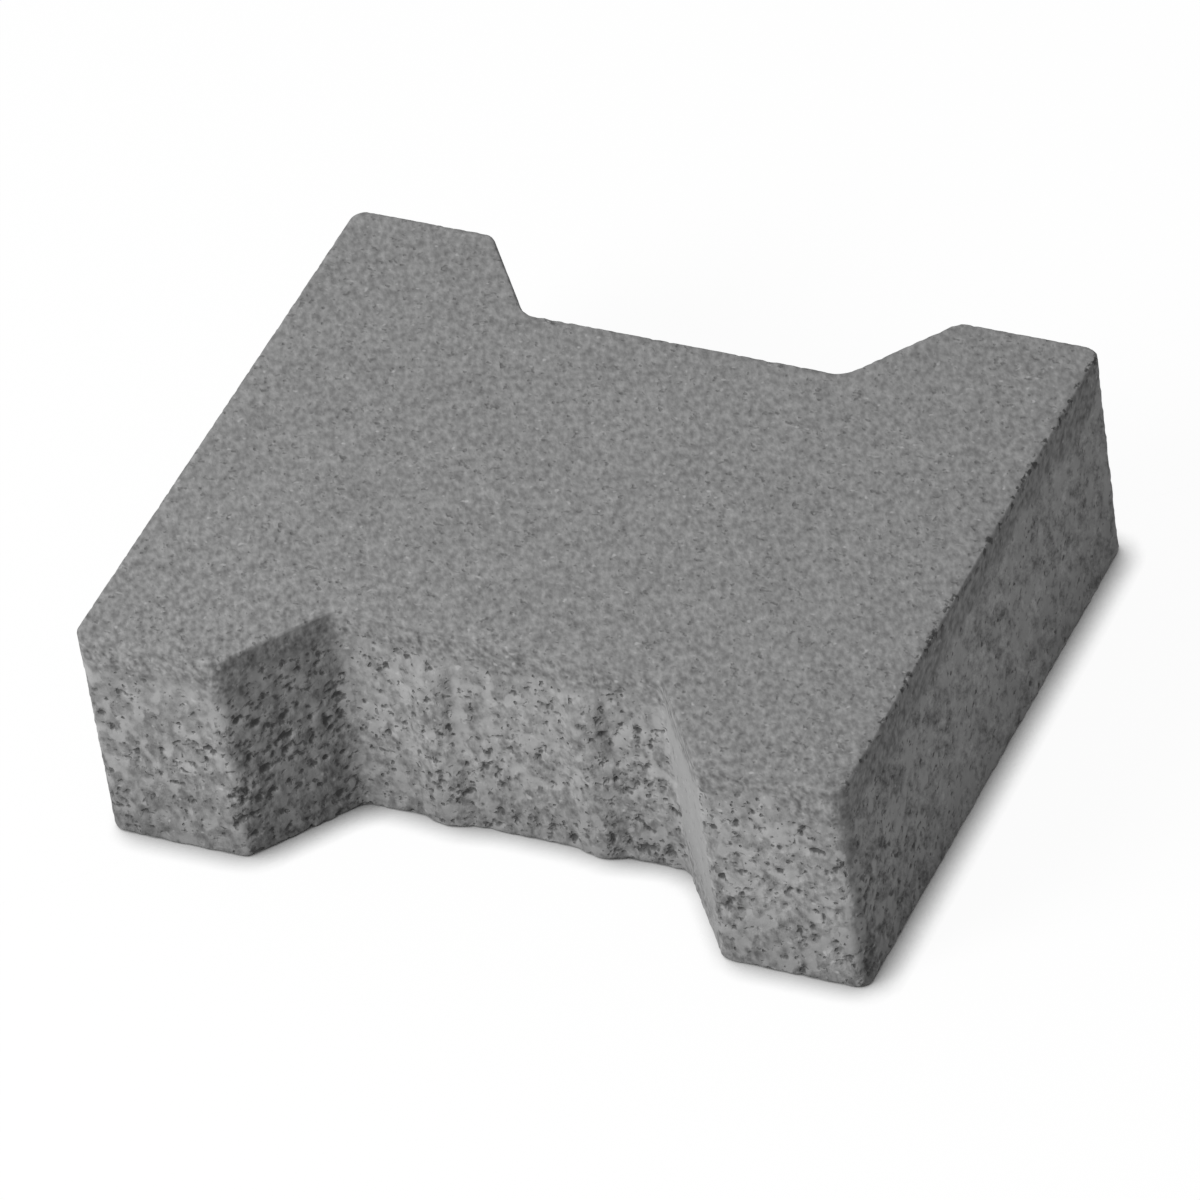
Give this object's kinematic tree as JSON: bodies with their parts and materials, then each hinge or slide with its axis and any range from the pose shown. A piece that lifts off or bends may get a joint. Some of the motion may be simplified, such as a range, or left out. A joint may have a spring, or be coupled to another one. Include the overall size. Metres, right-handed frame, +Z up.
{
  "type": "concrete paving stone",
  "caption": "Grey double-T interlocking concrete paving stone with two trapezoid notches and small spacer nibs, for laying in bonded rows on a sand bed.",
  "frame": {"origin": "middle of the bed face, which lies on the sand or the floor", "axes": "+X across the two flanges, which is the 197 mm way; +Y along the flanges; +Z up, from the bed face to the wearing face"},
  "size_m": [0.197, 0.163, 0.062],
  "materials": {
    "concrete": "pressed grey concrete, fine-grained and matt on top, open-pored on the sides"
  },
  "bodies": {
    "root": {"paving_stone": "concrete"}
  },
  "joints": []
}
